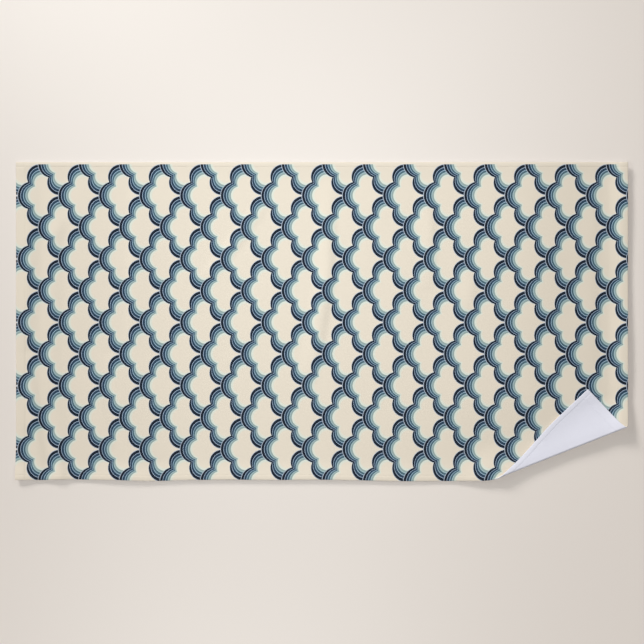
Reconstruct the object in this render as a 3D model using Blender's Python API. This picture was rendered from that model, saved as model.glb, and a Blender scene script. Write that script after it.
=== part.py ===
"""Beach towel, lying face up on a flat surface with one corner turned over.

The towel is one sheet of terry cloth with a turned and stitched hem all round. It lies in the XY
plane with its long sides along X and its back down, at Z = 0. The corner at +X, -Y is turned over
onto the front in a soft roll that widens towards the long side, so its white back faces up.

The cloth is drawn flat, cut along the lines where it bends, and then laid in place: place() takes a
point of the flat cloth to where it lies. Units are metres, +Z is up.
"""

import math
from typing import NamedTuple

import bmesh
import bpy
from mathutils import Matrix, Vector

# ---- Cloth --------------------------------------------------------------------------------------

LENGTH = 1.780              # end to end, along X
WIDTH = 0.925               # side to side, along Y
CLOTH = 0.0024              # thickness of the terry
HEM_CLOTH = 0.0030          # thickness of the turned and pressed hem
SIDE_HEM = 0.015            # width of the hem along the long sides
END_HEM = 0.028             # width of the hem at the two ends
HEM_STEP = 0.004            # distance over which the hem thins to the cloth

FRONT_COLOUR = (0.62, 0.60, 0.53)      # the printed front, its cream and blues taken together
BACK_COLOUR = (0.74, 0.75, 0.82)       # the plain white back
BACK_SLOT = 1               # material slot of the back

HALF_LENGTH = LENGTH / 2
HALF_WIDTH = WIDTH / 2

# ---- Turned corner ------------------------------------------------------------------------------

FOLD_ALONG_SIDE = 0.395     # from the flat corner to the fold, along the long side
FOLD_UP_END = 0.158         # from the flat corner to the fold, up the end
ROLL_AT_SIDE = 0.0085       # outer radius of the roll where it meets the long side
ROLL_AT_END = 0.0048        # outer radius of the roll where it meets the end
ROLL_TURN = math.radians(189.5)      # how far the cloth turns in the roll
FLAP_RUN = 0.006            # straight stretch behind the roll, at the middle of the fold
LEVEL_TURN = math.radians(10.0)      # how far the flap then turns back to lie level
LEVEL_SPREAD = 0.030        # stretch over which it does so, at the middle of the fold
CORNER_SHORT = 0.010        # how much shorter the towel was cut at this corner, along X
CORNER_WIDE = 0.005         # how much wider it was cut there, along Y
CORNER_REACH = 0.160        # how far from the corner the cut runs out of true

# ---- Mesh ---------------------------------------------------------------------------------------

GRID_SPACING = 0.030        # between cuts along and across the part that lies in one layer
FOLD_SPACING = 0.030        # between cuts across the turned corner
ROLL_CUTS = 9               # cuts along the roll, each one a step of its turn
SNAP = 0.0006               # a cut this close to a corner of the mesh goes through it
NORMAL_STEP = 0.0005        # step for the slope of the cloth

FOLD_SIDE_END = Vector((HALF_LENGTH - FOLD_ALONG_SIDE, -HALF_WIDTH))
FOLD_LINE = Vector((FOLD_ALONG_SIDE, FOLD_UP_END))     # from the long side to the end


class Crease(NamedTuple):
    """A soft ridge where the cloth stands off the surface, along start, bend and end."""

    start: tuple
    bend: tuple
    end: tuple
    half_width: float
    height: float


CREASES = (
    Crease((0.010, 0.380), (0.031, 0.180), (-0.012, -0.080), 0.040, 0.0040),
    Crease((-0.170, 0.325), (-0.208, 0.262), (-0.252, 0.190), 0.030, 0.0028),
    Crease((-0.742, 0.318), (-0.762, 0.272), (-0.784, 0.232), 0.032, 0.0020),
    Crease((-0.842, -0.150), (-0.814, -0.340), (-0.772, -0.462), 0.034, 0.0042),
    Crease((-0.596, -0.270), (-0.584, -0.330), (-0.570, -0.400), 0.030, 0.0024),
    Crease((0.300, 0.385), (0.321, 0.205), (0.314, 0.100), 0.036, 0.0026),
    Crease((0.430, 0.170), (0.433, 0.105), (0.430, 0.040), 0.030, 0.0016),
)


class Lift(NamedTuple):
    """How high the edge stands off the surface at a place along it."""

    along: float
    height: float


SIDE_LIFT_REACH = 0.060     # how far in from a long side its lift reaches
NEAR_SIDE_LIFTS = (         # along X, on the -Y side, which the turned corner is on
    Lift(-0.883, 0.0062),
    Lift(-0.814, 0.0020),
    Lift(-0.774, 0.0052),
    Lift(-0.709, 0.0020),
    Lift(-0.569, 0.0052),
    Lift(-0.412, 0.0022),
    Lift(-0.045, 0.0022),
    Lift(0.039, 0.0034),
    Lift(0.112, 0.0024),
    Lift(0.214, 0.0036),
    Lift(0.430, 0.0036),
    Lift(0.560, 0.0000),
)
FAR_SIDE_LIFTS = (          # along X, on the +Y side
    Lift(-0.890, 0.0015),
    Lift(-0.500, 0.0004),
    Lift(-0.050, 0.0014),
    Lift(0.300, 0.0006),
    Lift(0.890, 0.0012),
)
LEFT_END_REACH = 0.050      # how far in from the -X end its lift reaches
LEFT_END_LIFTS = (          # along Y
    Lift(-0.4625, 0.0016),
    Lift(-0.100, 0.0004),
    Lift(0.4625, 0.0014),
)
RIGHT_END_REACH = 0.085     # how far in from the +X end its lift reaches
RIGHT_END_LIFTS = (         # along Y
    Lift(-0.3084, 0.0105),
    Lift(-0.120, 0.0115),
    Lift(0.150, 0.0080),
    Lift(0.350, 0.0100),
    Lift(0.4625, 0.0085),
)
FOLD_LIFT_REACH = 0.080     # how far in from the fold its lift reaches
FOLD_LIFTS = (              # along the fold, as a share of its length from the long side
    Lift(-0.35, 0.0000),
    Lift(0.00, 0.0095),
    Lift(0.28, 0.0036),
    Lift(0.55, 0.0038),
    Lift(0.80, 0.0080),
    Lift(1.00, 0.0085),
)
SWELL_PLACE = 0.705         # crest of the low swell that runs across the towel before the +X end
SWELL_HALF_WIDTH = 0.085
SWELL_LIFTS = (             # along Y
    Lift(-0.420, 0.0000),
    Lift(-0.200, 0.0040),
    Lift(0.150, 0.0055),
    Lift(0.4625, 0.0045),
)


def smooth(share):
    """An even S-curve from 0 to 1, flat at both ends."""
    share = min(max(share, 0.0), 1.0)
    return share * share * (3.0 - 2.0 * share)


def lift_at(lifts, along):
    """Height of an edge at a place along it, eased between the rows of its table."""
    if along <= lifts[0].along:
        return lifts[0].height
    for low, high in zip(lifts, lifts[1:]):
        if along <= high.along:
            share = smooth((along - low.along) / (high.along - low.along))
            return low.height + (high.height - low.height) * share
    return lifts[-1].height


def crease_height(crease, x, y):
    """Height of a crease over a place: a rounded ridge that dies away at both its ends."""
    points = [Vector(crease.start), Vector(crease.bend), Vector(crease.end)]
    place = Vector((x, y))
    lengths = [(b - a).length for a, b in zip(points, points[1:])]
    nearest, travelled = None, 0.0
    for start, end, length in zip(points, points[1:], lengths):
        along = min(max((place - start).dot(end - start) / length, 0.0), length)
        distance = (place - start.lerp(end, along / length)).length
        if nearest is None or distance < nearest[0]:
            nearest = (distance, travelled + along)
        travelled += length
    distance, along = nearest
    if distance >= crease.half_width:
        return 0.0
    ridge = 0.5 + 0.5 * math.cos(math.pi * distance / crease.half_width)
    fade = math.sin(math.pi * (0.08 + 0.84 * along / travelled)) ** 0.5
    return crease.height * ridge * fade


def fold_lift(x, y):
    """Height that the cloth rises to along the fold, fading away from it."""
    from_side = Vector((x, y)) - FOLD_SIDE_END
    share = from_side.dot(FOLD_LINE) / FOLD_LINE.length_squared
    inward = -from_side.cross(FOLD_LINE) / FOLD_LINE.length
    return lift_at(FOLD_LIFTS, share) * smooth(1.0 - inward / FOLD_LIFT_REACH)


def relief(x, y):
    """How far the cloth stands off the surface at a place, where it lies in one layer."""
    height = lift_at(NEAR_SIDE_LIFTS, x) * smooth(1.0 - (y + HALF_WIDTH) / SIDE_LIFT_REACH)
    height += lift_at(FAR_SIDE_LIFTS, x) * smooth(1.0 - (HALF_WIDTH - y) / SIDE_LIFT_REACH)
    height += lift_at(LEFT_END_LIFTS, y) * smooth(1.0 - (x + HALF_LENGTH) / LEFT_END_REACH)
    height += lift_at(RIGHT_END_LIFTS, y) * smooth(1.0 - (HALF_LENGTH - x) / RIGHT_END_REACH)
    height += lift_at(SWELL_LIFTS, y) * smooth(1.0 - abs(x - SWELL_PLACE) / SWELL_HALF_WIDTH)
    height += fold_lift(x, y)
    return height + sum(crease_height(crease, x, y) for crease in CREASES)


class Roll(NamedTuple):
    """The cone that the corner is rolled round, in the plane of the flat cloth."""

    apex: Vector             # where all the bend lines meet, beyond the end of the towel
    along: Vector            # from the apex along the line where the cloth leaves the surface
    across: Vector           # square to it, towards the corner
    slope: float             # half the cone's angle
    middle_reach: float      # from the apex to the middle of the fold


def make_roll():
    """Works out the cone from the fold's two ends and the roll's radius at each."""
    beyond = ROLL_AT_END * FOLD_LINE.length / (ROLL_AT_SIDE - ROLL_AT_END)
    slope = math.atan(ROLL_AT_END / beyond)
    outward = FOLD_LINE.normalized()
    along = Matrix.Rotation(-slope, 2) @ -outward
    across = Vector((-along.y, along.x))
    middle_reach = beyond + FOLD_LINE.length / 2
    return Roll(FOLD_SIDE_END + FOLD_LINE + outward * beyond, along, across, slope, middle_reach)


ROLL = make_roll()


def bends():
    """The bends past the line where the cloth lifts: (stretch seen from the apex, curvature)."""
    run = FLAP_RUN / ROLL.middle_reach
    level = LEVEL_SPREAD / ROLL.middle_reach
    return (
        (ROLL_TURN * math.sin(ROLL.slope), 1.0 / math.tan(ROLL.slope)),
        (run, 0.0),
        (level, -LEVEL_TURN / level),
        (math.pi, 0.0),
    )


def fold_angle(u, v):
    """How far a point of the flat cloth is past the line where it lifts, seen from the apex."""
    arm = Vector((u, v)) - ROLL.apex
    return math.atan2(arm.dot(ROLL.across), arm.dot(ROLL.along))


def as_cut(u, v):
    """Moves a point of the flat rectangle to where the cut, a little out of true, left it."""
    near_corner = smooth(1.0 - (v + HALF_WIDTH) / CORNER_REACH)
    near_corner *= smooth(1.0 - (HALF_LENGTH - u) / (2.0 * CORNER_REACH))
    return u - CORNER_SHORT * near_corner, v - CORNER_WIDE * near_corner


def place(u, v):
    """Where the back of the cloth lies, for a point of the flat cloth."""
    u, v = as_cut(u, v)
    point = Vector((u, v, 0.0))
    remaining = fold_angle(u, v)
    if remaining > 0.0:
        reach = (Vector((u, v)) - ROLL.apex).length
        ray = ROLL.along.to_3d()
        heading = ROLL.across.to_3d()
        for stretch, curvature in bends():
            part = min(remaining, stretch)
            axis = ray.cross(heading) + ray * curvature
            turn = Matrix.Rotation(part * axis.length, 3, axis.normalized())
            ray = turn @ ray
            heading = turn @ heading
            remaining -= part
            if remaining <= 0.0:
                break
        point = ROLL.apex.to_3d() + ray * reach
    point.z += relief(point.x, point.y)
    return point


def thickness(u, v):
    """Thickness of the cloth: the terry's own, and more in the turned hems."""
    past_side = (HALF_WIDTH - abs(v) - SIDE_HEM) / HEM_STEP
    past_end = (HALF_LENGTH - abs(u) - END_HEM) / HEM_STEP
    return HEM_CLOTH + (CLOTH - HEM_CLOTH) * smooth(min(past_side, past_end))


def front_normal(u, v):
    """Direction that the printed front faces at a point of the flat cloth."""
    across = place(u + NORMAL_STEP, v) - place(u - NORMAL_STEP, v)
    up = place(u, v + NORMAL_STEP) - place(u, v - NORMAL_STEP)
    return across.cross(up).normalized()


def cut(sheet, faces, point, normal):
    """Cuts the given faces of the flat sheet along a line through a point."""
    edges = {edge for face in faces for edge in face.edges}
    verts = {vert for face in faces for vert in face.verts}
    bmesh.ops.bisect_plane(
        sheet, geom=list(verts) + list(edges) + list(faces), dist=SNAP,
        plane_co=Vector(point).to_3d(), plane_no=Vector(normal).to_3d())


def side_of_fold(sheet, turned):
    """Faces of the flat sheet past the line where it lifts, or those before it."""
    centres = ((face, face.calc_center_median()) for face in sheet.faces)
    return [face for face, centre in centres if (fold_angle(centre.x, centre.y) > 0.0) == turned]


def bend_lines():
    """Angles of the cuts along the turned corner, seen from the apex."""
    roll, run, level, _ = (stretch for stretch, _ in bends())
    angles = [roll * step / ROLL_CUTS for step in range(ROLL_CUTS + 1)]
    angles += [roll + run, roll + run + level / 2, roll + run + level]
    return angles


def spaced(low, high, spacing):
    """Places between two limits, evenly spaced and no further apart than asked."""
    count = math.ceil((high - low) / spacing)
    return [low + (high - low) * step / count for step in range(1, count)]


def flat_sheet():
    """The towel as cut: a flat rectangle, divided along its hems, its bends and a grid."""
    sheet = bmesh.new()
    corners = ((-1, -1), (1, -1), (1, 1), (-1, 1))
    sheet.faces.new([sheet.verts.new((x * HALF_LENGTH, y * HALF_WIDTH, 0.0)) for x, y in corners])
    for angle in bend_lines():
        across = Matrix.Rotation(angle, 2) @ ROLL.across
        cut(sheet, sheet.faces[:], ROLL.apex, across)
    for inset in (END_HEM, END_HEM + HEM_STEP):
        for side in (-1, 1):
            cut(sheet, sheet.faces[:], (side * (HALF_LENGTH - inset), 0.0), (1.0, 0.0))
    for inset in (SIDE_HEM, SIDE_HEM + HEM_STEP):
        for side in (-1, 1):
            cut(sheet, sheet.faces[:], (0.0, side * (HALF_WIDTH - inset)), (0.0, 1.0))
    inner_length = HALF_LENGTH - END_HEM - HEM_STEP
    for x in spaced(-inner_length, inner_length, GRID_SPACING):
        cut(sheet, side_of_fold(sheet, False), (x, 0.0), (1.0, 0.0))
    inner_width = HALF_WIDTH - SIDE_HEM - HEM_STEP
    for y in spaced(-inner_width, inner_width, GRID_SPACING):
        cut(sheet, side_of_fold(sheet, False), (0.0, y), (0.0, 1.0))
    fold_ends = (FOLD_SIDE_END, FOLD_SIDE_END + FOLD_LINE)
    reaches = [(point - ROLL.apex).dot(ROLL.along) for point in fold_ends]
    for reach in spaced(min(reaches), max(reaches) + ROLL_AT_SIDE, FOLD_SPACING):
        cut(sheet, side_of_fold(sheet, True), ROLL.apex + ROLL.along * reach, ROLL.along)
    bmesh.ops.triangulate(sheet, faces=sheet.faces[:])
    return sheet


def towel_mesh():
    """The closed sheet: its back and its front in place, joined round the edge."""
    sheet = flat_sheet()
    solid = bmesh.new()
    backs, fronts = {}, {}
    for vert in sheet.verts:
        u, v = vert.co.x, vert.co.y
        back = place(u, v)
        backs[vert] = solid.verts.new(back)
        fronts[vert] = solid.verts.new(back + front_normal(u, v) * thickness(u, v))
    for face in sheet.faces:
        solid.faces.new([fronts[vert] for vert in face.verts])
        back_face = solid.faces.new([backs[vert] for vert in reversed(face.verts)])
        back_face.material_index = BACK_SLOT
    for edge in sheet.edges:
        if edge.is_boundary:
            loop = edge.link_loops[0]
            start, end = loop.vert, loop.link_loop_next.vert
            solid.faces.new((fronts[end], fronts[start], backs[start], backs[end]))
    bmesh.ops.recalc_face_normals(solid, faces=solid.faces[:])
    bmesh.ops.triangulate(solid, faces=solid.faces[:])
    mesh = bpy.data.meshes.new("towel")
    solid.to_mesh(mesh)
    sheet.free()
    solid.free()
    return mesh


def terry_material(name, colour):
    """Matt terry of one colour."""
    material = bpy.data.materials.new(name)
    material.use_nodes = True
    shader = material.node_tree.nodes["Principled BSDF"]
    shader.inputs["Base Color"].default_value = (*colour, 1.0)
    shader.inputs["Roughness"].default_value = 0.95
    shader.inputs["Metallic"].default_value = 0.0
    return material


def main():
    """Clears the scene and lays the towel in it."""
    for old in list(bpy.data.objects):
        bpy.data.objects.remove(old, do_unlink=True)
    mesh = towel_mesh()
    mesh.materials.append(terry_material("printed_terry", FRONT_COLOUR))
    mesh.materials.append(terry_material("plain_terry", BACK_COLOUR))
    mesh.shade_smooth()
    mesh.set_sharp_from_angle(angle=math.radians(40.0))
    towel = bpy.data.objects.new("towel", mesh)
    bpy.context.scene.collection.objects.link(towel)


main()
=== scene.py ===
"""Looks of the beach towel: its cloth and hems, its printed front and plain back, its seams and the studio.

The towel is drawn flat, divided in edit mode along its hems, its bend lines and an even grid, given two
faces, and then laid: Lay takes a point of the flat cloth to where it lies. The print and the pile follow
the cloth through its UV map, which holds places on the flat cloth in metres. Units are metres, +Z is up.
"""

import logging
import math
from dataclasses import dataclass, field
from enum import Enum
from functools import cached_property
from typing import NamedTuple, Sequence

import bmesh
import bpy
import numpy as np
from mathutils import Matrix, Vector, noise


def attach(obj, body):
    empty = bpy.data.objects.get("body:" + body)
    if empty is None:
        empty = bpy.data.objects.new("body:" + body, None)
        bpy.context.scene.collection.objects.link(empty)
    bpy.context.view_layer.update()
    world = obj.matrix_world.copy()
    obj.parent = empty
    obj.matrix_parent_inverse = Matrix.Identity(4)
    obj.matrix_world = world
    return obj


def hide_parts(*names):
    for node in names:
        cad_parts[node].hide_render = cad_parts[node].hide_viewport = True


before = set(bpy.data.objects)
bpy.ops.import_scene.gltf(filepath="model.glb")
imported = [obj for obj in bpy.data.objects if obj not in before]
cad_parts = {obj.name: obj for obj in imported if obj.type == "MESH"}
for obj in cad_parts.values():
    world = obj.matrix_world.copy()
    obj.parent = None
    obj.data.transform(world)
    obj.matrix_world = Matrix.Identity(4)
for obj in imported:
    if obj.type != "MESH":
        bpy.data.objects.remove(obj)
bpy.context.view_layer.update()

LOG = logging.getLogger("beach_towel")
TOWEL_NODE = "towel"
ROOT_BODY = "root"
CLOTH_MAP = "cloth"
NODE_GAP = 180.0        # between nodes in the editor
MIX_SHARE, MIX_FIRST, MIX_SECOND, MIX_COLOUR = 0, 6, 7, 2   # a Mix node's sockets for colours

Colour = tuple[float, float, float]
Place = tuple[float, float]


class Face(Enum):
    """The two faces of the cloth, with the material slot of each."""

    PRINTED = 0
    PLAIN = 1


# ---- Shape of the cloth -------------------------------------------------------------------------


class Lift(NamedTuple):
    """How high the cloth stands off the surface at a place along an edge."""

    along: float
    height: float


class Pull(NamedTuple):
    """How far out a hem runs at a place along its edge."""

    along: float
    out: float


@dataclass(frozen=True)
class Crease:
    """A soft ridge where the cloth stands off the surface, steeper on one side than the other.

    Its crest runs through start, bend and end. Seen on the way from start to end, the cloth rises
    on the right of the crest and falls on its left.
    """

    start: Place
    bend: Place
    end: Place
    rise: float         # width of the side that faces the light
    fall: float         # width of the side in the shade
    height: float
    end_fade: float = 0.6       # how it dies away at its two ends: less is steeper

    def lift(self, x: np.ndarray, y: np.ndarray) -> np.ndarray:
        """Height of the crease over places: a rounded ridge that dies away at both its ends.

        Args:
            x: Places along the towel.
            y: Places across it.

        Returns:
            The height at each place.
        """
        place = np.stack([x, y], axis=-1)
        points = np.array([self.start, self.bend, self.end])
        nearest = np.full(x.shape, np.inf)
        travelled = np.zeros(x.shape)
        beside = np.zeros(x.shape)
        done = 0.0
        for start, end in zip(points, points[1:]):
            length = float(np.linalg.norm(end - start))
            run = (end - start) / length
            arm = place - start
            along = np.clip(arm @ run, 0.0, length)
            distance = np.linalg.norm(arm - along[..., None] * run, axis=-1)
            left = run[0] * arm[..., 1] - run[1] * arm[..., 0]
            closer = distance < nearest
            travelled = np.where(closer, done + along, travelled)
            beside = np.where(closer, left, beside)
            nearest = np.minimum(nearest, distance)
            done += length
        width = np.where(beside > 0.0, self.fall, self.rise)
        fade = np.sin(np.pi * np.clip(travelled / done, 0.0, 1.0)) ** self.end_fade
        return self.height * smooth(1.0 - nearest / width) * fade


def smooth(share: np.ndarray) -> np.ndarray:
    """An even S-curve from 0 to 1, flat at both ends."""
    share = np.clip(share, 0.0, 1.0)
    return share * share * (3.0 - 2.0 * share)


def eased(rows: Sequence[Lift | Pull], along: np.ndarray) -> np.ndarray:
    """Reads an edge's table at places along the edge, eased between its rows.

    Args:
        rows: The table's rows, in order.
        along: Places along the edge.

    Returns:
        The height, or how far out the hem runs, at each place.
    """
    places, values = np.array(rows).T
    inside = np.clip(along, places[0], places[-1])
    low = np.clip(np.searchsorted(places, inside, side="right") - 1, 0, len(rows) - 2)
    share = smooth((inside - places[low]) / (places[low + 1] - places[low]))
    return values[low] + (values[low + 1] - values[low]) * share


@dataclass(frozen=True)
class Cloth:
    """The cloth as cut and hemmed, before it is laid."""

    length: float = 1.780          # end to end, along X
    width: float = 0.925           # side to side, along Y
    terry: float = 0.0024          # thickness of the terry
    hem: float = 0.0030            # thickness of the turned and pressed hem
    side_hem: float = 0.015        # width of the hem along the long sides
    end_hem: float = 0.028         # width of the hem at the two ends
    hem_step: float = 0.008        # distance over which the hem thins to the cloth
    edge_round: float = 0.0013     # how far in from the edge the hem is rounded
    edge_flat: float = 0.35        # share of the hem's thickness left at its very edge
    seam_inset: float = 0.0010     # from the hem's inner edge to its seam
    seam_half_width: float = 0.0028
    seam_depth: float = 0.0005

    @property
    def half_length(self) -> float:
        """Half the towel's length."""
        return self.length / 2

    @property
    def half_width(self) -> float:
        """Half the towel's width."""
        return self.width / 2

    @property
    def side_seam(self) -> float:
        """Distance of the long sides' seams from the middle of the towel."""
        return self.half_width - self.side_hem + self.seam_inset

    @property
    def end_seam(self) -> float:
        """Distance of the ends' seams from the middle of the towel."""
        return self.half_length - self.end_hem + self.seam_inset


@dataclass(frozen=True)
class Trim:
    """Where cutting and hemming left the edges of the cloth a little out of true."""

    cloth: Cloth
    corner_short: float = 0.0068        # how much shorter the turned corner was cut, along X
    corner_wide: float = 0.0114         # how much wider it was cut, along Y
    end_reach: float = 0.168            # how far up the end the cut runs out of true
    end_ease: float = 0.045             # stretch over which it comes back to true there
    side_reach: float = 0.320           # the same along the long side
    side_ease: float = 0.200
    pull_reach: float = 0.060           # how far in from an edge its hem's pull is felt
    side_pull: tuple[Pull, ...] = (     # along X, on the -Y side, which the turned corner is on
        Pull(-0.830, 0.0000),
        Pull(-0.733, -0.0018),
        Pull(-0.617, 0.0000),
        Pull(-0.500, 0.0030),
        Pull(-0.384, 0.0000),
        Pull(-0.268, -0.0010),
        Pull(-0.137, 0.0000),
        Pull(-0.006, -0.0008),
        Pull(0.111, 0.0012),
        Pull(0.227, 0.0034),
        Pull(0.445, 0.0028),
        Pull(0.520, 0.0000),
    )
    left_end_pull: tuple[Pull, ...] = (     # along Y
        Pull(-0.4625, 0.0028),
        Pull(-0.340, 0.0000),
    )

    def place(self, flat: np.ndarray) -> np.ndarray:
        """Moves points of the flat rectangle to where cutting and hemming left them.

        Args:
            flat: Points of the rectangle, one a row.

        Returns:
            Where each is on the cloth, still flat.
        """
        u, v = flat[:, 0], flat[:, 1]
        side_share = smooth(1.0 - (v + self.cloth.half_width) / self.pull_reach)
        end_share = smooth(1.0 - (u + self.cloth.half_length) / self.pull_reach)
        u = u - eased(self.left_end_pull, v) * end_share
        v = v - eased(self.side_pull, flat[:, 0]) * side_share
        near = smooth((self.end_reach - self.cloth.half_width - v) / self.end_ease)
        near *= smooth((self.side_reach - self.cloth.half_length + u) / self.side_ease)
        return np.stack([u - self.corner_short * near, v - self.corner_wide * near], axis=-1)


@dataclass(frozen=True)
class TurnedCorner:
    """The corner at +X, -Y, turned over onto the front in a soft roll round a cone."""

    cloth: Cloth
    trim: Trim
    fold_along_side: float = 0.3897     # from the flat corner to the fold, along the long side
    fold_up_end: float = 0.1542         # from the flat corner to the fold, up the end
    roll_at_side: float = 0.0054        # outer radius of the roll where it meets the long side
    roll_at_end: float = 0.0050         # outer radius of the roll where it meets the end
    roll_turn: float = math.radians(182.0)
    crown_turn: float = math.radians(3.0)
    crown_spread: float = 0.020         # soft bend behind the roll, at the fold's middle
    level_turn: float = math.radians(4.6)
    level_spread: float = 0.042         # stretch over which the flap turns back to lie level

    @cached_property
    def side_end(self) -> np.ndarray:
        """Where the fold meets the long side."""
        return np.array([self.cloth.half_length - self.fold_along_side, -self.cloth.half_width])

    @cached_property
    def fold(self) -> np.ndarray:
        """The fold, from the long side to the end."""
        return np.array([self.fold_along_side, self.fold_up_end])

    @cached_property
    def fold_length(self) -> float:
        """Length of the fold."""
        return float(np.linalg.norm(self.fold))

    @cached_property
    def beyond(self) -> float:
        """From the fold's far end to the cone's apex."""
        return self.roll_at_end * self.fold_length / (self.roll_at_side - self.roll_at_end)

    @cached_property
    def middle_reach(self) -> float:
        """From the fold's middle to the cone's apex."""
        return self.beyond + self.fold_length / 2

    @cached_property
    def slope(self) -> float:
        """Half the cone's angle."""
        return math.atan(self.roll_at_end / self.beyond)

    @cached_property
    def apex(self) -> np.ndarray:
        """Where all the bend lines meet, beyond the end of the towel."""
        return self.side_end + self.fold * (1.0 + self.beyond / self.fold_length)

    @cached_property
    def along(self) -> np.ndarray:
        """From the apex, along the line where the cloth leaves the surface."""
        back = Vector(-self.fold / self.fold_length)
        return np.array(Matrix.Rotation(-self.slope, 2) @ back)

    @cached_property
    def across(self) -> np.ndarray:
        """Square to that line, towards the corner."""
        return np.array([-self.along[1], self.along[0]])

    @cached_property
    def bends(self) -> tuple[tuple[float, float], ...]:
        """The bends past the line where the cloth lifts: (stretch from the apex, curvature)."""
        crown = self.crown_spread / self.middle_reach
        level = self.level_spread / self.middle_reach
        return (
            (self.roll_turn * math.sin(self.slope), 1.0 / math.tan(self.slope)),
            (crown, self.crown_turn / crown),
            (level, -self.level_turn / level),
            (math.pi, 0.0),
        )

    def angle(self, flat: np.ndarray) -> np.ndarray:
        """How far points of the flat cloth are past the line where it lifts, from the apex."""
        arm = flat - self.apex
        return np.arctan2(arm @ self.across, arm @ self.along)

    def turned_share(self, flat: np.ndarray) -> np.ndarray:
        """0 where the cloth lies face up, 1 where it lies face down, and between in the roll."""
        return smooth(self.angle(flat) / self.bends[0][0])

    def turn(self, flat: np.ndarray) -> np.ndarray:
        """Takes points of the flat cloth to where they lie over a level surface.

        Args:
            flat: Points of the flat cloth, one a row.

        Returns:
            Where each lies, with the cloth's back at height 0 before the fold.
        """
        flat = self.trim.place(flat)
        lying = np.column_stack([flat, np.zeros(len(flat))])
        remaining = self.angle(flat)
        reach = np.linalg.norm(flat - self.apex, axis=-1)
        apex = np.append(self.apex, 0.0)
        ray = np.append(self.along, 0.0)
        heading = np.append(self.across, 0.0)
        for stretch, curvature in self.bends:
            axis = np.cross(ray, heading) + ray * curvature
            here = (remaining > 0.0) & (remaining <= stretch)
            lying[here] = apex + turned(ray, axis, remaining[here]) * reach[here, None]
            whole = np.array([stretch])
            ray, heading = turned(ray, axis, whole)[0], turned(heading, axis, whole)[0]
            remaining = remaining - stretch
        return lying


def turned(arm: np.ndarray, axis: np.ndarray, share: np.ndarray) -> np.ndarray:
    """Turns one arm about an axis, by shares of the axis's length in radians.

    Args:
        arm: The direction to turn.
        axis: The axis, as long as the turn that a share of 1 makes.
        share: How much of it each turn is.

    Returns:
        The turned arm, one row for each share.
    """
    size = float(np.linalg.norm(axis))
    unit = axis / size
    cosine = np.cos(share * size)[:, None]
    sine = np.sin(share * size)[:, None]
    return arm * cosine + np.cross(unit, arm) * sine + unit * (unit @ arm) * (1.0 - cosine)


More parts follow.
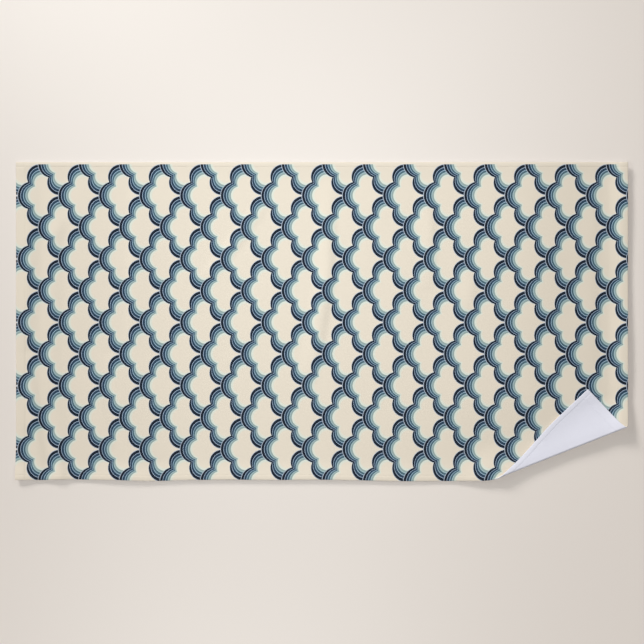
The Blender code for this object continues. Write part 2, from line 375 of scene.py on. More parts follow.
@dataclass(frozen=True)
class Relief:
    """How far the cloth stands off the surface: lifted edges, soft creases and a low swell."""

    cloth: Cloth
    corner: TurnedCorner
    side_reach: float = 0.060           # how far in from a long side its lift reaches
    left_end_reach: float = 0.050
    right_end_reach: float = 0.060
    fold_reach: float = 0.105
    swell_place: float = 0.600          # crest of the swell across the towel before the +X end
    swell_rise: float = 0.330           # how far it reaches on its -X side
    swell_fall: float = 0.232
    near_side: tuple[Lift, ...] = (     # along X, on the -Y side, which the turned corner is on
        Lift(-0.883, 0.0062),
        Lift(-0.814, 0.0020),
        Lift(-0.774, 0.0052),
        Lift(-0.709, 0.0020),
        Lift(-0.569, 0.0052),
        Lift(-0.412, 0.0036),
        Lift(-0.045, 0.0038),
        Lift(0.039, 0.0042),
        Lift(0.112, 0.0034),
        Lift(0.214, 0.0036),
        Lift(0.430, 0.0016),
        Lift(0.560, 0.0000),
    )
    far_side: tuple[Lift, ...] = (      # along X, on the +Y side
        Lift(-0.890, 0.0015),
        Lift(-0.500, 0.0004),
        Lift(-0.050, 0.0014),
        Lift(0.300, 0.0006),
        Lift(0.890, 0.0012),
    )
    left_end: tuple[Lift, ...] = (      # along Y
        Lift(-0.4625, 0.0008),
        Lift(-0.100, 0.0002),
        Lift(0.4625, 0.0004),
    )
    right_end: tuple[Lift, ...] = (     # along Y
        Lift(-0.3084, 0.0058),
        Lift(-0.120, 0.0115),
        Lift(0.150, 0.0074),
        Lift(0.350, 0.0100),
        Lift(0.4625, 0.0085),
    )
    fold: tuple[Lift, ...] = (          # along the fold, as a share of its length
        Lift(-0.35, 0.0000),
        Lift(0.00, 0.0102),
        Lift(0.28, 0.0057),
        Lift(0.55, 0.0052),
        Lift(0.80, 0.0090),
        Lift(1.00, 0.0125),
    )
    swell: tuple[Lift, ...] = (         # along Y
        Lift(-0.420, 0.0000),
        Lift(-0.200, 0.0070),
        Lift(0.150, 0.0085),
        Lift(0.4625, 0.0080),
    )
    creases: tuple[Crease, ...] = (
        Crease((0.022, 0.404), (0.016, 0.125), (-0.036, -0.185), 0.048, 0.030, 0.0044),
        Crease((-0.156, 0.358), (-0.284, 0.186), (-0.348, 0.113), 0.032, 0.028, 0.0025),
        Crease((-0.742, 0.318), (-0.762, 0.272), (-0.784, 0.232), 0.030, 0.032, 0.0016),
        Crease((-0.853, 0.474), (-0.852, 0.172), (-0.860, -0.090), 0.024, 0.038, 0.0036),
        Crease((-0.854, -0.090), (-0.840, -0.288), (-0.811, -0.468), 0.030, 0.027, 0.0041),
        Crease((-0.776, 0.468), (-0.787, -0.084), (-0.758, -0.468), 0.034, 0.034, 0.0020),
        Crease((-0.768, -0.330), (-0.762, -0.410), (-0.758, -0.490), 0.034, 0.020, 0.0023),
        Crease((-0.723, 0.440), (-0.726, 0.200), (-0.722, -0.050), 0.028, 0.110, 0.0011),
        Crease((-0.668, -0.150), (-0.640, -0.260), (-0.604, -0.370), 0.060, 0.016, 0.0016),
        Crease((-0.622, -0.100), (-0.590, -0.260), (-0.530, -0.430), 0.026, 0.120, 0.0034),
        Crease((-0.545, 0.440), (-0.550, 0.200), (-0.556, -0.100), 0.024, 0.100, 0.0022),
        Crease((0.304, 0.395), (0.316, 0.250), (0.310, 0.090), 0.045, 0.027, 0.0030),
        Crease((0.430, 0.180), (0.434, 0.105), (0.430, 0.025), 0.050, 0.028, 0.0022),
        Crease((0.786, 0.430), (0.782, 0.060), (0.784, -0.240), 0.070, 0.030, 0.0013),
    )

    def height(self, x: np.ndarray, y: np.ndarray) -> np.ndarray:
        """How far the cloth stands off the surface at places.

        Args:
            x: Places along the towel.
            y: Places across it.

        Returns:
            The height at each place.
        """
        half_length, half_width = self.cloth.half_length, self.cloth.half_width
        high = eased(self.near_side, x) * smooth(1.0 - (y + half_width) / self.side_reach)
        high += eased(self.far_side, x) * smooth(1.0 - (half_width - y) / self.side_reach)
        high += eased(self.left_end, y) * smooth(1.0 - (x + half_length) / self.left_end_reach)
        high += eased(self.right_end, y) * smooth(1.0 - (half_length - x) / self.right_end_reach)
        from_crest = x - self.swell_place
        reach = np.where(from_crest > 0.0, self.swell_fall, self.swell_rise)
        high += eased(self.swell, y) * smooth(1.0 - np.abs(from_crest) / reach)
        high += self.fold_lift(x, y)
        return high + sum(crease.lift(x, y) for crease in self.creases)

    def fold_lift(self, x: np.ndarray, y: np.ndarray) -> np.ndarray:
        """Height that the cloth rises to along the fold, fading away from it."""
        arm = np.stack([x, y], axis=-1) - self.corner.side_end
        fold, length = self.corner.fold, self.corner.fold_length
        inward = (arm[..., 1] * fold[0] - arm[..., 0] * fold[1]) / length
        share = arm @ fold / length**2
        return eased(self.fold, share) * smooth(1.0 - inward / self.fold_reach)


class Waves(Enum):
    """The sets of irregular waves in the cloth, with the layer of noise each is read from."""

    RIPPLES = 3.0
    CRUMPLES = 7.0
    PUCKERS = 11.0


@dataclass(frozen=True)
class Handling:
    """What sewing and use leave in the cloth: puckers beside the seams and slight ripples."""

    pucker_height: float = 0.00055
    pucker_length: float = 0.017        # from one pucker to the next, along a seam
    pucker_reach: float = 0.030         # how far from a seam they run
    pucker_change: float = 0.050        # how far from a seam they turn into others
    pucker_spread: float = 1.6          # how much further apart they get on the way
    ripple_height: float = 0.0006
    ripple_length: float = 0.110
    crumple_height: float = 0.00022
    crumple_length: float = 0.036


@dataclass(frozen=True)
class Lay:
    """Takes points of the flat cloth to where they lie, on its back or on its front."""

    cloth: Cloth
    corner: TurnedCorner
    relief: Relief
    handling: Handling
    slope_step: float = 0.0005          # half the stretch over which a slope is measured

    def back(self, flat: np.ndarray) -> np.ndarray:
        """Where the back of the cloth lies, before the work of needle and hand.

        Args:
            flat: Points of the flat cloth, one a row.

        Returns:
            Where each lies.
        """
        lying = self.corner.turn(flat)
        lying[:, 2] += self.relief.height(lying[:, 0], lying[:, 1])
        return lying

    def facing(self, flat: np.ndarray) -> np.ndarray:
        """Direction that the printed front faces at points of the flat cloth."""
        u_step, v_step = np.array([self.slope_step, 0.0]), np.array([0.0, self.slope_step])
        along = self.back(flat + u_step) - self.back(flat - u_step)
        across = self.back(flat + v_step) - self.back(flat - v_step)
        normal = np.cross(along, across)
        return normal / np.linalg.norm(normal, axis=-1, keepdims=True)

    def edge_distance(self, flat: np.ndarray) -> tuple[np.ndarray, np.ndarray]:
        """Distances of points of the flat cloth from the nearer long side and the nearer end."""
        apart = np.abs(flat)
        return self.cloth.half_width - apart[:, 1], self.cloth.half_length - apart[:, 0]

    def seam_distance(self, flat: np.ndarray) -> tuple[np.ndarray, np.ndarray]:
        """Distances of points from the nearer side seam and the nearer end seam, outside minus."""
        apart = np.abs(flat)
        return self.cloth.side_seam - apart[:, 1], self.cloth.end_seam - apart[:, 0]

    def hem_share(self, flat: np.ndarray) -> np.ndarray:
        """1 in the turned hems, 0 in the single cloth."""
        side, end = self.edge_distance(flat)
        past = np.minimum(side - self.cloth.side_hem, end - self.cloth.end_hem)
        return smooth(0.5 - past / self.cloth.hem_step)

    def seam_dent(self, flat: np.ndarray) -> np.ndarray:
        """How deep the stitches pull each face of the cloth in."""
        dent = np.zeros(len(flat))
        for distance in self.seam_distance(flat):
            dent = np.maximum(dent, 1.0 - np.abs(distance) / self.cloth.seam_half_width)
        return self.cloth.seam_depth * smooth(dent)

    def waves(self, flat: np.ndarray) -> np.ndarray:
        """How far puckers, ripples and crumples lift the cloth, both faces alike."""
        work = self.handling
        side, end = self.seam_distance(flat)
        lift = np.zeros(len(flat))
        for distance, along in ((side, flat[:, 0]), (end, flat[:, 1])):
            spread = 1.0 + work.pucker_spread * np.clip(distance / work.pucker_reach, 0.0, 1.0)
            crests = sampled(along / spread / work.pucker_length, distance / work.pucker_change,
                             Waves.PUCKERS)
            near = smooth(1.0 - np.abs(distance) / work.pucker_reach)
            lift += work.pucker_height * crests * near
        lift += work.ripple_height * sampled(*(flat.T / work.ripple_length), Waves.RIPPLES)
        lift += work.crumple_height * sampled(*(flat.T / work.crumple_length), Waves.CRUMPLES)
        return lift

    def place(self, flat: np.ndarray, face: Face) -> np.ndarray:
        """Where one face of the cloth lies.

        Args:
            flat: Points of the flat cloth, one a row.
            face: Which of its faces.

        Returns:
            Where each point lies, nowhere below the surface that the towel lies on.
        """
        cloth = self.cloth
        hem, over = self.hem_share(flat), self.corner.turned_share(flat)
        thick = cloth.terry + (cloth.hem - cloth.terry) * hem
        low = (cloth.hem - cloth.terry) * (1.0 - hem) * over
        side, end = self.edge_distance(flat)
        inside = np.clip(np.minimum(side, end) / cloth.edge_round, 0.0, 1.0)
        full = cloth.edge_flat + (1.0 - cloth.edge_flat) * np.sqrt(1.0 - (1.0 - inside) ** 2)
        middle = low + thick / 2
        half = thick / 2 * full - self.seam_dent(flat)
        depth = middle + half if face is Face.PRINTED else middle - half
        lying = self.back(flat) + self.facing(flat) * depth[:, None]
        lying[:, 2] = np.maximum(lying[:, 2] + self.waves(flat), 0.0)
        return lying


def sampled(along: np.ndarray, across: np.ndarray, waves: Waves) -> np.ndarray:
    """Smooth irregular waves about one unit long, from 0 to 1.

    Args:
        along: First place of each sample.
        across: Second place of each sample.
        waves: Which set of waves.

    Returns:
        The height of the waves at each sample.
    """
    layer = waves.value
    found = (noise.noise((u, v, layer)) for u, v in zip(along.tolist(), across.tolist()))
    return 0.5 + 0.5 * np.fromiter(found, float, len(along))


# ---- Shader helpers -----------------------------------------------------------------------------


@dataclass(frozen=True)
class Term:
    """A value in a node tree that can be added to, multiplied and compared."""

    bench: "Bench"
    socket: bpy.types.NodeSocket

    def __add__(self, other: "Term | float") -> "Term":
        """The sum."""
        return self.bench.math("ADD", self, other)

    def __sub__(self, other: "Term | float") -> "Term":
        """The difference."""
        return self.bench.math("SUBTRACT", self, other)

    def __mul__(self, other: "Term | float") -> "Term":
        """The product."""
        return self.bench.math("MULTIPLY", self, other)

    def __truediv__(self, other: "Term | float") -> "Term":
        """The quotient."""
        return self.bench.math("DIVIDE", self, other)


class Bench:
    """Adds nodes to one tree and links them."""

    def __init__(self, tree: bpy.types.NodeTree) -> None:
        """Takes the tree to work on."""
        self.tree = tree

    def node(self, kind: str, settings: dict | None = None, **inputs: object) -> bpy.types.Node:
        """Adds a node, with its settings and its inputs.

        Args:
            kind: The node's type.
            settings: Values of its properties.
            **inputs: Values or terms for its inputs, by name, with _ for a space.

        Returns:
            The new node.
        """
        made = self.tree.nodes.new(kind)
        made.location.x = NODE_GAP * len(self.tree.nodes)
        for name, value in (settings or {}).items():
            setattr(made, name, value)
        for name, value in inputs.items():
            self.feed(made.inputs[name.replace("_", " ")], value)
        return made

    def feed(self, socket: bpy.types.NodeSocket, value: object) -> None:
        """Links a term to an input, or sets the input to a value."""
        if isinstance(value, Term):
            self.tree.links.new(value.socket, socket)
        else:
            socket.default_value = value

    def term(self, node: bpy.types.Node, output: str | int = 0) -> Term:
        """One output of a node."""
        return Term(self, node.outputs[output])

    def math(self, operation: str, *values: "Term | float") -> Term:
        """The result of one Math node on up to three values."""
        made = self.node("ShaderNodeMath", {"operation": operation})
        for socket, value in zip(made.inputs, values):
            self.feed(socket, value)
        return self.term(made)

    def choose(self, first: Term, second: Term, use_second: Term) -> Term:
        """The first value, or the second where use_second is 1."""
        return self.math("MULTIPLY_ADD", second - first, use_second, first)

    def blend(self, first: object, second: object, share: "Term | float") -> Term:
        """A colour between two, by share."""
        made = self.node("ShaderNodeMix", {"data_type": "RGBA"})
        self.feed(made.inputs[MIX_SHARE], share)
        self.feed(made.inputs[MIX_FIRST], first)
        self.feed(made.inputs[MIX_SECOND], second)
        return self.term(made, MIX_COLOUR)

    def between(self, value: Term, low: float, high: float) -> Term:
        """0 where value is low, 1 where it is high, and smooth between."""
        settings = {"interpolation_type": "SMOOTHSTEP"}
        return self.term(self.node("ShaderNodeMapRange", settings,
                                   Value=value, From_Min=low, From_Max=high))

    def cloth_place(self) -> Term:
        """The place on the flat cloth, in metres."""
        return self.term(self.node("ShaderNodeUVMap", {"uv_map": CLOTH_MAP}))

    def split(self, vector: Term) -> tuple[Term, Term, Term]:
        """The three parts of a vector."""
        made = self.node("ShaderNodeSeparateXYZ", Vector=vector)
        return self.term(made, 0), self.term(made, 1), self.term(made, 2)


class Group:
    """A shader node group under construction, with named inputs and outputs."""

    def __init__(self, name: str, inputs: dict[str, str], outputs: dict[str, str]) -> None:
        """Makes the group and its sockets.

        Args:
            name: The group's name.
            inputs: Name and kind of each input.
            outputs: Name and kind of each output.
        """
        self.tree = bpy.data.node_groups.new(name, "ShaderNodeTree")
        for in_out, sockets in (("INPUT", inputs), ("OUTPUT", outputs)):
            for socket, kind in sockets.items():
                self.tree.interface.new_socket(socket, in_out=in_out, socket_type=f"NodeSocket{kind}")
        self.bench = Bench(self.tree)
        self.given = self.bench.node("NodeGroupInput")
        self.result = self.bench.node("NodeGroupOutput")

    def input(self, name: str) -> Term:
        """What comes in by that name."""
        return self.bench.term(self.given, name)

    def output(self, name: str, value: Term) -> None:
        """Sends a value out by that name."""
        self.bench.feed(self.result.inputs[name], value)


def place_group(bench: Bench, tree: bpy.types.NodeTree, **inputs: object) -> bpy.types.Node:
    """Places a finished group in another tree, with its own values."""
    return bench.node("ShaderNodeGroup", {"node_tree": tree}, **inputs)


def new_material(name: str) -> tuple[bpy.types.Material, Bench, bpy.types.Node]:
    """A new material, with a bench on its nodes and its shader."""
    material = bpy.data.materials.new(name)
    material.use_nodes = True
    return material, Bench(material.node_tree), material.node_tree.nodes["Principled BSDF"]


def opaque(colour: Colour) -> tuple[float, float, float, float]:
    """The colour with full alpha."""
    return (*colour, 1.0)


# ---- Print --------------------------------------------------------------------------------------


class Band(NamedTuple):
    """One band of a scale: how far out from the hub it starts, as a share, and its colour."""

    start: float
    colour: Colour
    softness: float


@dataclass(frozen=True)
class ScalePrint:
    """A staggered repeat of scales with three round lobes each, banded from the outline in.

    A scale's bands are smaller copies of its outline about a hub on its axis. The tips point
    along -X, and each scale overlaps the ones behind it at its -X side.
    """

    repeat_along: float = 0.118047
    repeat_across: float = 0.184433
    first_tip: Place = (-0.88443, 0.36485)
    hub: float = 0.09156                # from a scale's tip to its hub
    front_radius: float = 0.04035       # of the lobe at the tip, which touches it
    side_along: float = 0.06265         # centre of a side lobe, from the tip
    side_across: float = 0.05406        # and from the axis
    side_radius: float = 0.03617
    rim: float = 1.017                  # how far out the pale rim round a scale reaches
    hub_size: float = 1e-6              # nearer the hub than this counts as this far
    least_reach: float = 1e-5           # an outline nearer the hub than this isn't there
    out_of_reach: float = 10.0          # stands for the outline where there is none
    plain_strip: float = 0.4560         # the print stops here, short of the far side's edge
    ground: Colour = (0.705, 0.631, 0.522)
    bands: tuple[Band, ...] = (
        Band(0.6151, (0.638, 0.669, 0.585), 0.030),
        Band(0.6817, (0.273, 0.357, 0.347), 0.003),
        Band(0.7390, (0.375, 0.516, 0.551), 0.002),
        Band(0.7578, (0.070, 0.126, 0.157), 0.002),
        Band(0.8176, (0.398, 0.564, 0.696), 0.002),
        Band(0.8316, (0.0265, 0.053, 0.088), 0.002),
        Band(0.9065, (0.507, 0.639, 0.811), 0.002),
        Band(0.9167, (0.012, 0.018, 0.029), 0.002),
        Band(1.0000, (0.438, 0.493, 0.575), 0.002),
    )

    def lobed_scale(self) -> bpy.types.NodeTree:
        """Builds the group for one scale: how far out a place is, 1 being on its outline.

        Returns:
            The group, with Along and Across from the tip as inputs and Ratio as output.
        """
        group = Group("lobed scale", {"Along": "Float", "Across": "Float"}, {"Ratio": "Float"})
        bench = group.bench
        along = group.input("Along") - self.hub
        across = bench.math("ABSOLUTE", group.input("Across"))
        distance = bench.math("SQRT", along * along + across * across)
        distance = bench.math("MAXIMUM", distance, self.hub_size)
        lobes = (
            (self.front_radius - self.hub, 0.0, self.front_radius),
            (self.side_along - self.hub, self.side_across, self.side_radius),
        )
        reaches = []
        for centre_along, centre_across, radius in lobes:
            toward = (along * centre_along + across * centre_across) / distance
            spare = centre_along**2 + centre_across**2 - radius**2
            inside = toward * toward - spare
            hit = bench.math("GREATER_THAN", inside, 0.0)
            ahead = bench.math("GREATER_THAN", toward, 0.0)
            chord = bench.math("SQRT", bench.math("MAXIMUM", inside, 0.0))
            reaches.append((toward + chord) * hit * ahead)
        reach = bench.math("MAXIMUM", *reaches)
        missed = bench.math("LESS_THAN", reach, self.least_reach)
        group.output("Ratio", distance / (reach + missed * self.out_of_reach))
        return group.tree

    def build(self) -> bpy.types.NodeTree:
        """Builds the group for the whole print.

        Returns:
            The group, with Vector, a place on the flat cloth, as input and Color as output.
        """
        group = Group("scale print", {"Vector": "Vector"}, {"Color": "Color"})
        bench = group.bench
        scale = self.lobed_scale()
        along, across, _ = bench.split(group.input("Vector"))
        half_along, half_across = self.repeat_along / 2, self.repeat_across / 2
        rows = (across - self.first_tip[1]) / half_across
        row = bench.math("FLOOR", rows)
        up = rows - row
        odd = bench.math("FLOORED_MODULO", row, 2.0)
        start = along - self.first_tip[0]
        below = bench.math("FLOORED_MODULO", start - odd * half_along, self.repeat_along)
        above = bench.math("FLOORED_MODULO", start + odd * half_along - half_along, self.repeat_along)
        up_from_below, up_from_above = up * half_across, (up - 1.0) * half_across
        above_first = bench.math("LESS_THAN", above, below)
        near_along = bench.choose(below, above, above_first)
        near_across = bench.choose(up_from_below, up_from_above, above_first)
        far_along = bench.choose(above, below, above_first)
        far_across = bench.choose(up_from_above, up_from_below, above_first)
        ratio = None
        for step_along, step_across in (
            (far_along, far_across),
            (near_along, near_across),
            (far_along - self.repeat_along, far_across),
        ):
            placed = place_group(bench, scale, Along=step_along, Across=step_across)
            found = bench.term(placed, "Ratio")
            covers = bench.math("LESS_THAN", found, self.rim)
            ratio = found if ratio is None else bench.choose(ratio, found, covers)
        colour = opaque(self.ground)
        for band in self.bands:
            share = bench.between(ratio, band.start - band.softness, band.start + band.softness)
            colour = bench.blend(colour, opaque(band.colour), share)
        plain = bench.math("GREATER_THAN", across, self.plain_strip)
        group.output("Color", bench.blend(colour, opaque(self.ground), plain))
        return group.tree


# ---- Finishes -----------------------------------------------------------------------------------


@dataclass(frozen=True)
class Pile:
    """A terry pile: tufts in rows, each a little out of line."""

    tuft_softness: float = 0.35
    fibre_scale: float = 2.3            # fibres across a tuft
    fibre_roughness: float = 0.6
    fibre_share: float = 0.3            # of the height; the rest is the tuft's own
    clump_scale: float = 0.11           # clumps across a tuft
    clump_share: float = 0.55           # of the shade; the rest follows the height

    def build(self) -> bpy.types.NodeTree:
        """Builds the group.

        Returns:
            The group, with Vector, Tufts (to a metre) and Disorder as inputs, and Height and
            Shade as outputs. Shade is painted shade, darker in the hollows between tufts,
            mixed with random clumps.
        """
        inputs = {"Vector": "Vector", "Tufts": "Float", "Disorder": "Float"}
        group = Group("terry pile", inputs, {"Height": "Float", "Shade": "Float"})
        bench = group.bench
        vector, tufts = group.input("Vector"), group.input("Tufts")
        cells = bench.node("ShaderNodeTexVoronoi", {"feature": "SMOOTH_F1"}, Vector=vector,
                           Scale=tufts, Randomness=group.input("Disorder"),
                           Smoothness=self.tuft_softness)
        fibres = bench.node("ShaderNodeTexNoise", Vector=vector, Scale=tufts * self.fibre_scale,
                            Detail=2.0, Roughness=self.fibre_roughness)
        clumps = bench.node("ShaderNodeTexNoise", Vector=vector, Scale=tufts * self.clump_scale,
                            Detail=3.0)
        tuft = bench.math("SUBTRACT", 1.0, bench.term(cells, "Distance"))
        height = tuft * (1.0 - self.fibre_share) + bench.term(fibres) * self.fibre_share
        # Painted shade: the colour darkens in the hollows between tufts, where the height is low; the
        # clumps are random.
        shade = height * (1.0 - self.clump_share) + bench.term(clumps) * self.clump_share
        group.output("Height", height)
        group.output("Shade", shade)
        return group.tree


@dataclass(frozen=True)
class ToneAndPileShade:
    """Uneven colour of washed cloth: broad patches at random, and painted shade in the pile's hollows."""

    patches: float = 9.0                # to a metre
    # The pile's share is painted shade in its hollows, mixed with random clumps.
    patch_share: float = 0.4            # of the unevenness; the rest is the pile's
    even: float = 0.5                   # what leaves the colour as it is

    def build(self) -> bpy.types.NodeTree:
        """Builds the group.

        Returns:
            The group, with Vector, Color, Shade and Amount as inputs and Color as output.
        """
        inputs = {"Vector": "Vector", "Color": "Color", "Shade": "Float", "Amount": "Float"}
        group = Group("cloth tone", inputs, {"Color": "Color"})
        bench = group.bench
        broad = bench.node("ShaderNodeTexNoise", Vector=group.input("Vector"),
                           Scale=self.patches, Detail=2.0)
        # The pile's Shade is painted shade in its hollows, mixed with random clumps; the broad patches are
        # random.
        of_pile = group.input("Shade") * (1.0 - self.patch_share)
        uneven = bench.term(broad) * self.patch_share + of_pile - self.even
        gain = uneven * group.input("Amount") + 1.0
        scaled = bench.node("ShaderNodeVectorMath", {"operation": "SCALE"},
                            Vector=group.input("Color"), Scale=gain)
        group.output("Color", bench.term(scaled))
        return group.tree


@dataclass(frozen=True)
class TerryFinish:
    """How one face of the terry is finished."""

    name: str
    tufts: float                    # tufts a metre
    disorder: float
    pile: float                     # height of the tufts
    # Amount of random unevenness and of painted shade in the pile's hollows.
    tone_and_shade: float                     # how uneven the colour is
    roughness: float
    sheen: float
    sheen_roughness: float = 0.6
    specular: float = 0.06
    colour: Colour | None = None    # where the face isn't printed

    def build(self, pile: bpy.types.NodeTree, tone_and_shade: bpy.types.NodeTree,
              printed: bpy.types.NodeTree | None = None) -> bpy.types.Material:
        """Builds the material.

        Args:
            pile: The pile's group.
            tone_and_shade: The group for uneven colour: random patches and painted shade in the pile's
                hollows.
            printed: The print's group, where the face is printed.

        Returns:
            The material.
        """
        material, bench, shader = new_material(self.name)
        place = bench.cloth_place()
        tufted = place_group(bench, pile, Vector=place, Tufts=self.tufts, Disorder=self.disorder)
        if printed is None:
            colour: object = opaque(self.colour)
        else:
            colour = bench.term(place_group(bench, printed, Vector=place), "Color")
        # Random patches, and painted shade in the pile's hollows, change the colour.
        uneven_and_shaded = place_group(bench, tone_and_shade, Vector=place, Color=colour,
                            Shade=bench.term(tufted, "Shade"), Amount=self.tone_and_shade)
        bump = bench.node("ShaderNodeBump", Height=bench.term(tufted, "Height"),
                          Strength=1.0, Distance=self.pile)
        bench.feed(shader.inputs["Base Color"], bench.term(uneven_and_shaded, "Color"))
        bench.feed(shader.inputs["Normal"], bench.term(bump, "Normal"))
        shader.inputs["Roughness"].default_value = self.roughness
        shader.inputs["Specular IOR Level"].default_value = self.specular
        shader.inputs["Sheen Weight"].default_value = self.sheen
        shader.inputs["Sheen Roughness"].default_value = self.sheen_roughness
        return material


@dataclass(frozen=True)
class ThreadFinish:
    """Matt cotton sewing thread, with painted shade along its twist."""

    name: str
    colour: Colour = (0.70, 0.71, 0.78)
    twist: float = 1500.0           # turns of its ply a metre
    # palest and shading paint shade along the twist, from the same noise as its bump.
    palest: float = 1.1             # gain on its colour where the ply is palest
    shading: float = 0.4            # how much less that is where it is darkest
    relief: float = 0.0001          # depth of its twist
    relief_strength: float = 0.5
    roughness: float = 0.7

    def build(self, printed: bpy.types.NodeTree | None = None) -> bpy.types.Material:
        """Builds the material.

        Args:
            printed: The print's group, where the thread was printed with the cloth.

        Returns:
            The material.
        """
        material, bench, shader = new_material(self.name)
        spot = bench.term(bench.node("ShaderNodeTexCoord"), "Object")
        ply = bench.node("ShaderNodeTexNoise", Vector=spot, Scale=self.twist, Detail=2.0)
        if printed is None:
            colour: object = self.colour
        else:
            place = bench.cloth_place()
            colour = bench.term(place_group(bench, printed, Vector=place), "Color")
        # Painted shade along the twist: the colour darkens where the ply noise, which is also the bump's
        # height, is high.
        shade = bench.math("MULTIPLY_ADD", bench.term(ply), -self.shading, self.palest)
        scaled = bench.node("ShaderNodeVectorMath", {"operation": "SCALE"},
                            Vector=colour, Scale=shade)
        bump = bench.node("ShaderNodeBump", Height=bench.term(ply), Strength=self.relief_strength,
                          Distance=self.relief)
        bench.feed(shader.inputs["Base Color"], bench.term(scaled))
        bench.feed(shader.inputs["Normal"], bench.term(bump, "Normal"))
        shader.inputs["Roughness"].default_value = self.roughness
        return material


# ---- Pieces -------------------------------------------------------------------------------------


def select_nothing() -> None:
    """Leaves nothing selected, so that the next operator acts on what it adds."""
    bpy.ops.object.select_all(action="DESELECT")


def spaced(low: float, high: float, spacing: float) -> np.ndarray:
    """Places between two limits, evenly spaced and no further apart than asked."""
    return np.linspace(low, high, math.ceil((high - low) / spacing) + 1)[1:-1]


def read_points(mesh: bpy.types.Mesh) -> np.ndarray:
    """The mesh's points, one a row."""
    found = np.empty(len(mesh.vertices) * 3, np.float32)
    mesh.vertices.foreach_get("co", found)
    return found.reshape(-1, 3).astype(float)


def write_points(mesh: bpy.types.Mesh, points: np.ndarray) -> None:
    """Moves the mesh's points."""
    mesh.vertices.foreach_set("co", points.astype(np.float32).ravel())
    mesh.update()


def map_cloth(mesh: bpy.types.Mesh, flat: np.ndarray) -> None:
    """Stores the place on the flat cloth of each of the mesh's points as its UV map.

    Args:
        mesh: The mesh.
        flat: Each point's place on the flat cloth, one a row.
    """
    corners = np.empty(len(mesh.loops), np.int32)
    mesh.loops.foreach_get("vertex_index", corners)
    layer = mesh.uv_layers.new(name=CLOTH_MAP)
    layer.uv.foreach_set("vector", flat[corners].astype(np.float32).ravel())


